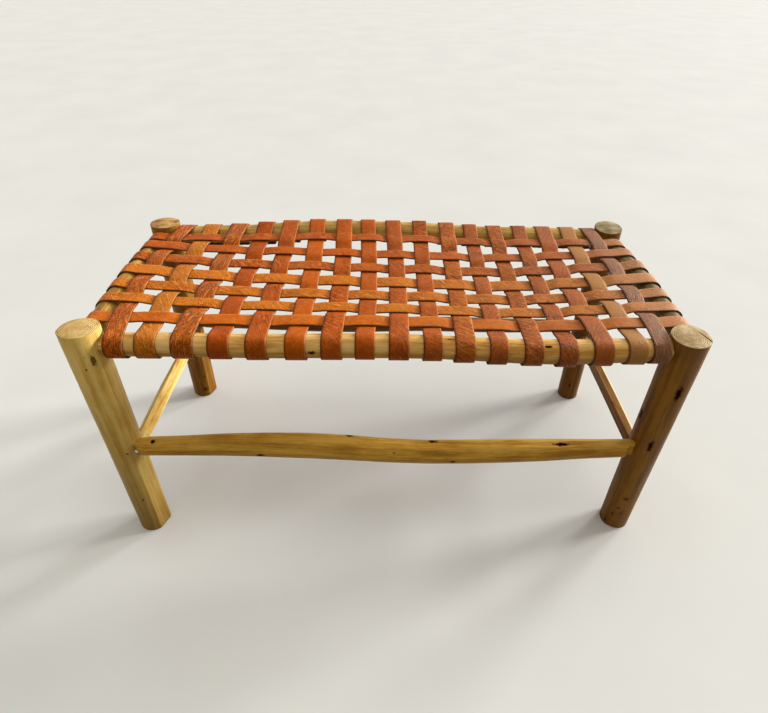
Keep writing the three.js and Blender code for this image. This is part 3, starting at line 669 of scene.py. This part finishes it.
def strapLine(node, along):
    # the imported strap's middle line: rows of place, side and height, with its width
    side = 1 - along
    rows = {}
    for corner in pointsOf(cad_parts[node]):
        rows.setdefault((round(corner[along], 5), round(corner[2], 5)), set()).add(round(corner[side], 5))
    faces = []
    for (place, height), sides in rows.items():
        if max(sides) - min(sides) > strapWork["narrowest"]:
            faces.append(np.array((place, (max(sides) + min(sides)) / 2, height, max(sides) - min(sides))))
    line = []
    while faces:
        first = faces.pop()
        gaps = [np.hypot(first[0] - other[0], first[2] - other[2]) for other in faces]
        line.append((first + faces.pop(int(np.argmin(gaps)))) / 2)
    foremost = min(row[0] for row in line)
    nearEnd = [row for row in line if row[0] < foremost + strapWork["endReach"]]
    lowest = min(row[2] for row in nearEnd)
    tail = max((row for row in nearEnd if row[2] < lowest + strapWork["endRise"]), key=lambda row: row[0])
    ordered = [tail]
    heading = np.array([-1.0, 0.0])
    while len(line) > 1:
        line = [row for row in line if row is not tail]
        nextRow = min(line, key=lambda row: detour(row, tail, heading))
        heading = (nextRow - tail)[[0, 2]] / np.linalg.norm((nextRow - tail)[[0, 2]])
        tail = nextRow
        ordered.append(tail)
    return ordered


def easedLine(line):
    # rounds the corners of the line, and keeps the middles of its flats
    path = [line[0]]
    for k in range(1, len(line) - 1):
        start, corner, end = (line[k - 1] + line[k]) / 2, line[k], (line[k] + line[k + 1]) / 2
        for step in range(strapWork["perBend"]):
            t = step / strapWork["perBend"]
            path.append(start * (1 - t) ** 2 + corner * 2 * t * (1 - t) + end * t * t)
    path.append((line[-2] + line[-1]) / 2)
    path.append(line[-1])
    return np.array(path)


def waver(kind, s, seed, other):
    waves, seedStep = strapWork[kind]
    return noise.noise(Vector((s * waves, seed * seedStep, other)))


def layStrap(node, line, along, seed, kind, materials):
    path = easedLine(line)
    bpy.ops.object.select_all(action="DESELECT")
    bpy.ops.mesh.primitive_grid_add(x_subdivisions=len(path) - 1, size=1,
                                    y_subdivisions=strapWork["columns"])
    strap = bpy.context.object
    strap.name = "woven_" + node
    mesh = strap.data
    grid = pointsOf(strap)
    rows = np.rint((grid[:, 0] + 0.5) * (len(path) - 1)).astype(int)
    across = grid[:, 1] * 2
    lengths = np.concatenate([[0], np.cumsum(np.hypot(np.diff(path[:, 0]), np.diff(path[:, 2])))])
    ahead = np.gradient(path[:, [0, 2]], axis=0)
    ahead /= np.linalg.norm(ahead, axis=1)[:, None]
    coords, edges = np.empty((len(grid), 3)), np.empty((len(grid), 3))
    for k, (row, edge) in enumerate(zip(rows, across)):
        place, side, height, width = path[row]
        s = lengths[row]
        quiet = min(1, max(0, min(s, lengths[-1] - s) / strapWork["stillEnd"] - 1))
        tilt = waver("tilt", s, seed, 0) * edge
        bow = waver("bow", s, seed, 4) * (edge * edge - 0.4)  # level a little over halfway out
        curl = strapWork["curl"] * (tilt * strapWork["tiltShare"] + bow)
        lift = quiet * (curl - strapWork["crown"] * (edge * edge - 0.3))
        out = side + edge * width / 2 + strapWork["wander"] * waver("drift", s, seed, edge * 0.6)
        a = place - ahead[row, 1] * lift
        z = height + ahead[row, 0] * lift
        coords[k] = (out, a, z) if along == 1 else (a, out, z)
        grid[k] = (s + seed * strapWork["patternStep"], edge * width / 2, 0)
        edges[k] = (edge, 0, 0)
    tone, grain, slant = kind
    mesh.vertices.foreach_set("co", coords.ravel())
    writeVectors(mesh, "strapCoords", grid)
    writeVectors(mesh, "strapKind", np.tile([tone - strapWork["middleTone"], grain, slant], (len(grid), 1)))
    writeVectors(mesh, "strapEdge", edges)
    mesh.update()
    editAll(strap)
    bpy.ops.mesh.normals_make_consistent(inside=False)
    bpy.ops.object.mode_set(mode="OBJECT")
    for material in materials:
        mesh.materials.append(material)
    finishModifier(strap, "SOLIDIFY", thickness=strapWork["thickness"], offset=0, material_offset_rim=1)
    finishModifier(strap, "BEVEL", width=strapWork["edgeSoftness"], segments=2, limit_method="ANGLE",
                   angle_limit=math.radians(strapWork["sharpEdge"]), material=-1)
    smoothSides(strap, strapWork["smoothUnder"])
    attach(strap, "root")
    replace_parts(strap, node)


def tannedLeather(name, look):
    # vegetable-tanned cowhide, dyed cognac and cut into straps: pebbled grain, wandering creases in
    # patches with painted shade in the creases and between the pebbles, their crests painted bright as
    # wear and painted highlight, painted shade along one margin and a painted highlight along the other,
    # painted glare that dulls and pales the leather toward the right with a painted sheen at that end,
    # painted shade where the straps wrap the front rail, a soft waxed sheen; the creases are drawn a
    # little coarse to show
    material, tree, shader = newMaterial(name)
    lay = addNode(tree, "Attribute", attribute_name="strapCoords").outputs["Vector"]
    kindRow = addNode(tree, "Attribute", attribute_name="strapKind").outputs["Vector"]
    kind = addNode(tree, "SeparateXYZ", {"Vector": kindRow})
    edgeRow = addNode(tree, "Attribute", attribute_name="strapEdge").outputs["Vector"]
    edge = addNode(tree, "SeparateXYZ", {"Vector": edgeRow})
    spot = addNode(tree, "SeparateXYZ", {"Vector": addNode(tree, "TexCoord").outputs["Object"]})
    turned = addNode(tree, "VectorRotate", {"Vector": lay, "Angle": kind.outputs["Z"]},
                     rotation_type="Z_AXIS")
    long, wide = look["creaseSize"]
    creaseGrid = addNode(tree, "Mapping", {"Vector": turned.outputs[0],
                                           "Scale": (1000 / long, 1000 / wide, 1)})
    crease = addNode(tree, "TexNoise", {"Vector": creaseGrid.outputs[0], "Scale": 1, "Detail": 2,
                                        "Distortion": 0.5})
    level = addNode(tree, "Math", {0: crease.outputs["Fac"], 1: 0.5}, operation="SUBTRACT")
    depth = addNode(tree, "Math", {0: level.outputs[0]}, operation="ABSOLUTE")
    wrinkle = addNode(tree, "MapRange", {"Value": depth.outputs[0], "From Min": 0.06, "From Max": 0.005},
                      interpolation_type="SMOOTHSTEP")
    long, wide = look["patchSize"]
    patchGrid = addNode(tree, "Mapping", {"Vector": lay, "Scale": (1000 / long, 1000 / wide, 1)})
    patch = addNode(tree, "TexNoise", {"Vector": patchGrid.outputs[0], "Scale": 1, "Detail": 3})
    mottle = addNode(tree, "TexNoise", {"Vector": lay, "Scale": 1000 / look["mottleSize"], "Detail": 4,
                                        "Roughness": 0.6})
    loose = addNode(tree, "Math", {0: patch.outputs["Fac"], 1: kind.outputs["Y"]}, operation="ADD")
    where = addNode(tree, "MapRange", {"Value": loose.outputs[0], "From Min": 0.8, "From Max": 1.15})
    creased = addNode(tree, "Math", {0: wrinkle.outputs[0], 1: where.outputs[0]}, operation="MULTIPLY")
    toned = addNode(tree, "Math", {0: mottle.outputs["Fac"], 1: 0.5, 2: kind.outputs["X"]},
                    operation="MULTIPLY_ADD")
    toneShift = addNode(tree, "Math", {0: patch.outputs["Fac"], 1: 0.25, 2: toned.outputs[0]},
                        operation="MULTIPLY_ADD")
    tint = addNode(tree, "ValToRGB", {"Fac": toneShift.outputs[0]},
                   stops=[(0.05, look["dun"]), (0.25, look["tan"]), (0.5, look["cognac"]),
                          (0.78, look["russet"]), (1, look["plum"])])
    warp = addNode(tree, "TexNoise", {"Vector": lay, "Scale": 330, "Detail": 1})  # about 3 mm
    pushed = addNode(tree, "VectorMath", {0: warp.outputs["Color"], 1: (0.0016, 0.0016, 0), 2: lay},
                     operation="MULTIPLY_ADD")
    pebble = addNode(tree, "TexVoronoi", {"Vector": pushed.outputs[0], "Scale": 1000 / look["pebbleSize"]},
                     feature="F1")
    # painted shade in the hollows: the creases and the valleys between the pebbles are darkened
    valley = addNode(tree, "MapRange", {"Value": pebble.outputs["Distance"], "From Min": 0.3,
                                        "From Max": 0.75, "To Max": 0.7})
    creaseShadeLines = addNode(tree, "Math", {0: creased.outputs[0], 1: 0.64}, operation="MULTIPLY")
    pebbleValleyShade = addNode(tree, "Math", {0: valley.outputs[0], 1: kind.outputs["Y"]}, operation="MULTIPLY")
    dark = addNode(tree, "Math", {0: creaseShadeLines.outputs[0], 1: pebbleValleyShade.outputs[0]}, operation="MAXIMUM")
    # crests painted brighter: partly wear, partly painted highlight
    crest = addNode(tree, "MapRange", {"Value": crease.outputs["Fac"], "From Min": 0.55, "From Max": 0.68,
                                       "To Max": 0.45})
    crestWearAndHighlight = addNode(tree, "Math", {0: crest.outputs[0], 1: where.outputs[0]}, operation="MULTIPLY")
    crestHighlightColour = addNode(tree, "HueSaturation", {"Color": tint.outputs[0], "Saturation": 0.88, "Value": 1.5})
    # painted light and shade laid over the leather, each over a reach: painted glare toward the right,
    # painted shade round the front rail, a painted sheen at the right end, a painted dark margin and a
    # painted pale one
    reaches = {}
    for part, coordinate, full in (("fade", spot.outputs["X"], 0.55), ("paintedFrontShade", spot.outputs["Y"], 1),
                                   ("paintedSheen", spot.outputs["X"], 0.3), ("edge", edge.outputs["X"], 0.8),
                                   ("paintedEdgeHighlight", edge.outputs["X"], 1)):
        start, end = look[part + "Reach"]
        reaches[part] = addNode(tree, "MapRange", {"Value": coordinate, "From Min": start, "From Max": end,
                                                   "To Max": full})
    # painted glare: the leather paled toward the right, over the dulling above
    dusty = addNode(tree, "Math", {0: reaches["fade"].outputs[0], 1: 0.22}, operation="MULTIPLY")
    # painted highlight along the pale margin, broken by the mottle
    paintedEdgeHighlightMask = addNode(tree, "Math", {0: reaches["paintedEdgeHighlight"].outputs[0], 1: mottle.outputs["Fac"]},
                   operation="MULTIPLY")
    colour = tint.outputs[0]
    for mask, tone, blend in (  # each laid over the ones before, through its mask
            (dark, linear(look["crease"]), "MIX"), (crestWearAndHighlight, crestHighlightColour.outputs[0], "MIX"),
            (reaches["fade"], linear(look["fade"]), "MULTIPLY"), (dusty, linear(look["paintedGlare"]), "MIX"),
            (reaches["paintedFrontShade"], linear(look["paintedFrontShade"]), "MULTIPLY"),
            (reaches["paintedSheen"], linear(look["paintedSheen"]), "MIX"),
            (reaches["edge"], linear(look["edge"]), "MIX"), (paintedEdgeHighlightMask, linear(look["paintedEdgeHighlight"]), "MIX")):
        laid = addNode(tree, "Mix", {"Factor": mask.outputs[0], "A": colour, "B": tone},
                       data_type="RGBA", blend_type=blend)
        colour = laid.outputs["Result"]
    pebbleHeight = addNode(tree, "Math", {0: pebble.outputs["Distance"], 1: -0.3}, operation="MULTIPLY")
    height = addNode(tree, "Math", {0: creased.outputs[0], 1: -1.0, 2: pebbleHeight.outputs[0]},
                     operation="MULTIPLY_ADD")
    bump = addNode(tree, "Bump", {"Height": height.outputs[0], "Strength": 0.9, "Distance": 0.0013})
    dull = addNode(tree, "MapRange", {"Value": patch.outputs["Fac"], "From Min": 0.3, "From Max": 0.7,
                                      "To Min": look["roughness"][0], "To Max": look["roughness"][1]})
    tree.links.new(colour, shader.inputs["Base Color"])
    tree.links.new(dull.outputs[0], shader.inputs["Roughness"])
    tree.links.new(bump.outputs[0], shader.inputs["Normal"])
    shader.inputs["IOR"].default_value = look["ior"]
    shader.inputs["Specular IOR Level"].default_value = look["gloss"]
    shader.inputs["Specular Tint"].default_value = linear(look["sheen"])
    return material


def rawCutLeather(name, look):
    # where the knife parted the hide: matt fibres, coloured dark brown as painted shade for cut sides lying
    # in shade, blotched here and there
    material, tree, shader = newMaterial(name)
    lay = addNode(tree, "TexCoord").outputs["Object"]
    fuzz = addNode(tree, "TexNoise", {"Vector": lay, "Scale": 700, "Detail": 3})  # about 1.4 mm
    blot = addNode(tree, "TexNoise", {"Vector": lay, "Scale": 45, "Detail": 2})  # about 22 mm
    tint = addNode(tree, "ValToRGB", {"Fac": blot.outputs["Fac"]},
                   stops=[(0.35, look["dark"]), (0.6, look["pale"])])
    bump = addNode(tree, "Bump", {"Height": fuzz.outputs["Fac"], "Strength": 0.5, "Distance": 0.0003})
    tree.links.new(tint.outputs[0], shader.inputs["Base Color"])
    tree.links.new(bump.outputs[0], shader.inputs["Normal"])
    shader.inputs["Roughness"].default_value = 0.75
    return material


# sizes in millimetres; a reach is where a layer starts and where it is full, in metres along or
# across the bench, but for the two margins in half widths from a strap's middle
leatherLook = {
    "dun": "#c07c38", "tan": "#e07e16", "cognac": "#ca5e08", "russet": "#a03e04", "plum": "#905230",
    "crease": "#3a1200", "creaseSize": (24, 3.9), "patchSize": (60, 40), "mottleSize": 9, "pebbleSize": 2.4,
    # painted glare: the leather dulled and paled toward the right
    "fade": "#c6d8f0", "fadeReach": (-0.08, 0.3), "paintedGlare": "#c09070",
    # painted shade where the straps wrap round the front rail
    "paintedFrontShade": "#dadab8", "paintedFrontShadeReach": (-0.203, -0.22),
    # painted sheen: the straps paled at their right ends
    "paintedSheen": "#e2bc94", "paintedSheenReach": (0.36, 0.48),
    # painted shade along one margin of each strap, and painted highlight along the other
    "edge": "#3c1503", "edgeReach": (-0.78, -0.95),
    "paintedEdgeHighlight": "#e8a468", "paintedEdgeHighlightReach": (0.86, 0.97),
    "sheen": "#f4cf9a", "roughness": (0.42, 0.58), "ior": 1.5, "gloss": 0.18,
}
leather = (
    tannedLeather("vegetable-tanned cognac leather", leatherLook),
    # the cut edges are coloured dark brown as painted shade
    rawCutLeather("raw cut leather edge", {"pale": "#6a3614", "dark": "#2c1204"}),
)
# tone runs from dun and tan through cognac to russet and plum; grain is how much of a strap is
# wrinkled; slant is how far the wrinkles turn from the strap's length, in radians
warpKinds = [
    (0.45, 0.75, 0.1), (0.2, 0.5, 0.4), (0.42, 0.85, -0.2), (0.66, 0.35, 0.8), (0.56, 0.5, 0.3),
    (0.52, 0.35, -0.4), (0.54, 0.5, 0.9), (0.59, 0.35, -0.9), (0.56, 0.5, 0.4), (0.54, 0.5, 1.2),
    (0.44, 0.6, 1.0), (0.54, 0.5, -0.7), (0.47, 0.65, 1.1), (0.54, 0.6, 0.5), (0.58, 0.4, -0.5),
    (0.04, 0.3, 0.3), (0.84, 0.9, 0.15),
]
weftKinds = [
    (0.54, 0.5, 0.7), (0.53, 0.45, 0.9), (0.49, 0.6, 0.8), (0.3, 0.5, 1.0), (0.32, 0.55, 0.6),
    (0.28, 0.5, 0.8), (0.43, 0.35, 0.5),
]
strapLines = {}
for along, family, firstSeed, kinds in ((1, "warp_strap_%02d", 1, warpKinds),
                                        (0, "weft_strap_%d", 31, weftKinds)):
    for i, kind in enumerate(kinds):
        node = family % (i + 1)
        strapLines[node] = strapLine(node, along)
        layStrap(node, strapLines[node], along, firstSeed + i, kind, leather)
print("straps woven:", len(warpKinds), "along the depth,", len(weftKinds), "along the length")

# Nails and tacks


def drawnSteel(name, look):
    # drawn wire with a struck head: grey steel, mottled bright and dark, half dull
    material, tree, shader = newMaterial(name)
    lay = addNode(tree, "TexCoord").outputs["Object"]
    mottle = addNode(tree, "TexNoise", {"Vector": lay, "Scale": 900, "Detail": 3})
    tint = addNode(tree, "ValToRGB", {"Fac": mottle.outputs["Fac"]},
                   stops=[(0.35, look["dark"]), (0.65, look["bright"])])
    dull = addNode(tree, "MapRange", {"Value": mottle.outputs["Fac"], "To Min": 0.25, "To Max": 0.5})
    tree.links.new(tint.outputs[0], shader.inputs["Base Color"])
    tree.links.new(dull.outputs[0], shader.inputs["Roughness"])
    shader.inputs["Metallic"].default_value = 1
    return material


steel = drawnSteel("drawn wire steel", {"dark": "#7b7975", "bright": "#c9c6bf"})
fastenerWork = {
    "softness": 0.00025,
    "sharpEdge": 40,  # degrees
    "smoothUnder": 45,
}


def roundFastener(node, name):
    piece = copyOf(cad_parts[node], name)
    editAll(piece)
    bpy.ops.mesh.remove_doubles(threshold=0.00001)
    bpy.ops.mesh.normals_make_consistent(inside=False)
    bpy.ops.mesh.tris_convert_to_quads()
    bpy.ops.object.mode_set(mode="OBJECT")
    finishModifier(piece, "BEVEL", width=fastenerWork["softness"], segments=2, limit_method="ANGLE",
                   angle_limit=math.radians(fastenerWork["sharpEdge"]))
    finishModifier(piece, "SUBSURF", levels=1, render_levels=1)
    piece.data.materials.clear()
    piece.data.materials.append(steel)
    smoothSides(piece, fastenerWork["smoothUnder"])
    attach(piece, "root")
    return piece


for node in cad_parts:
    if node.startswith(("tack_", "nail_")):
        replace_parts(roundFastener(node, "driven_" + node), node)


def tackPose(line, along, atEnd):
    # stands on a strap's outer face where it is nailed under its rail
    end, inner = (line[-1], line[-2]) if atEnd else (line[0], line[1])
    back = (inner - end)[[0, 2]]
    back /= np.linalg.norm(back)
    outward = np.array([back[1], -back[0]]) if back[0] > 0 else np.array([-back[1], back[0]])
    place, height = end[[0, 2]] + back * strapWork["tail"] + outward * strapWork["thickness"] / 2
    spot, facing = (place, end[1], height), (outward[0], 0, outward[1])
    if along == 1:
        spot, facing = (end[1], place, height), (0, outward[0], outward[1])
    return Matrix.Translation(spot) @ Vector(facing).to_track_quat("Z", "Y").to_matrix().to_4x4()


# the warps are nailed under the long rails like the wefts under the side rails: one tack is copied
pattern = bpy.data.objects["driven_tack_left_1"]
standing = tackPose(strapLines["weft_strap_1"], 0, False)
for i in range(len(warpKinds)):
    for atEnd, railName in ((False, "front"), (True, "back")):
        tack = copyOf(pattern, "driven_tack_%s_%02d" % (railName, i + 1))
        pose = tackPose(strapLines["warp_strap_%02d" % (i + 1)], 1, atEnd)
        tack.data.transform(pose @ standing.inverted())
        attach(tack, "root")
print("nails and tacks driven")

# Floor, backdrop and light

light = {
    "window": {"from": (2.2, 0.8, 0.62), "softness": 16, "strength": 3.4, "colour": (1, 1, 0.96)},
    "farWindow": {"from": (1.9, 1.6, 1.0), "softness": 14, "strength": 1.4, "colour": (1, 1, 1)},
    "sky": {"from": (0.2, 0.5, 2.4), "softness": 70, "strength": 1.2, "colour": (1, 0.99, 0.94)},
    "fill": {"from": (-0.4, -2.2, 2.0), "softness": 60, "strength": 0.34, "colour": (1, 0.95, 0.78)},
}
roomLight = {"strength": 0.2, "colour": (1, 0.97, 0.86, 1), "shown": "#e8e7e4"}  # warm walls round about


def seenStraight(tree):
    # 1 where the eye sees a thing itself or in a reflection, 0 where it only passes light on
    path = addNode(tree, "LightPath")
    mirrored = addNode(tree, "Math", {0: path.outputs["Is Glossy Ray"],
                                      1: path.outputs["Is Transmission Ray"]}, operation="MAXIMUM")
    return addNode(tree, "Math", {0: path.outputs["Is Camera Ray"], 1: mirrored.outputs[0]},
                   operation="MAXIMUM").outputs[0]


def paleFloor(name, look):
    # painted studio floor, matt and pale; it throws back less light than it shows
    material, tree, shader = newMaterial(name)
    lay = addNode(tree, "TexCoord").outputs["Object"]
    mottle = addNode(tree, "TexNoise", {"Vector": lay, "Scale": 3, "Detail": 4})
    tint = addNode(tree, "ValToRGB", {"Fac": mottle.outputs["Fac"]},
                   stops=[(0.3, look["dark"]), (0.7, look["light"])])
    shown = addNode(tree, "Mix", {"Factor": seenStraight(tree), "A": linear(look["bounce"]),
                                  "B": tint.outputs[0]}, data_type="RGBA")
    tree.links.new(shown.outputs["Result"], shader.inputs["Base Color"])
    shader.inputs["Roughness"].default_value = 0.9
    return material


studio = {"size": 60, "drop": 0.0003}  # the floor lies a little below the feet's sawn faces
bpy.ops.object.select_all(action="DESELECT")
bpy.ops.mesh.primitive_plane_add(size=studio["size"], location=(0, 0, -studio["drop"]))
floor = bpy.context.object
floor.name = "studioFloor"
settle(floor)
floor.data.materials.append(paleFloor("painted studio floor", {"dark": "#d9d8d5", "light": "#dfdedb",
                                                               "bounce": "#766e50"}))

for name, settings in light.items():
    bpy.ops.object.light_add(type="SUN", location=settings["from"])
    lamp = bpy.context.object
    lamp.name = name + "Light"
    lamp.data.angle = math.radians(settings["softness"])
    lamp.data.energy = settings["strength"]
    lamp.data.color = settings["colour"]
    lamp.rotation_mode = "QUATERNION"
    lamp.rotation_quaternion = (-lamp.location).to_track_quat("-Z", "Y")

world = bpy.data.worlds.new("softRoom")
bpy.context.scene.world = world
world.use_nodes = True
room = world.node_tree
room.nodes.clear()
soft = addNode(room, "Background", {"Color": roomLight["colour"], "Strength": roomLight["strength"]})
pale = addNode(room, "Background", {"Color": linear(roomLight["shown"]), "Strength": 1})
joined = addNode(room, "MixShader", {"Fac": seenStraight(room), 1: soft.outputs[0], 2: pale.outputs[0]})
addNode(room, "OutputWorld", {"Surface": joined.outputs[0]})
bpy.context.scene.view_settings.view_transform = "Standard"
print("floor and light set")
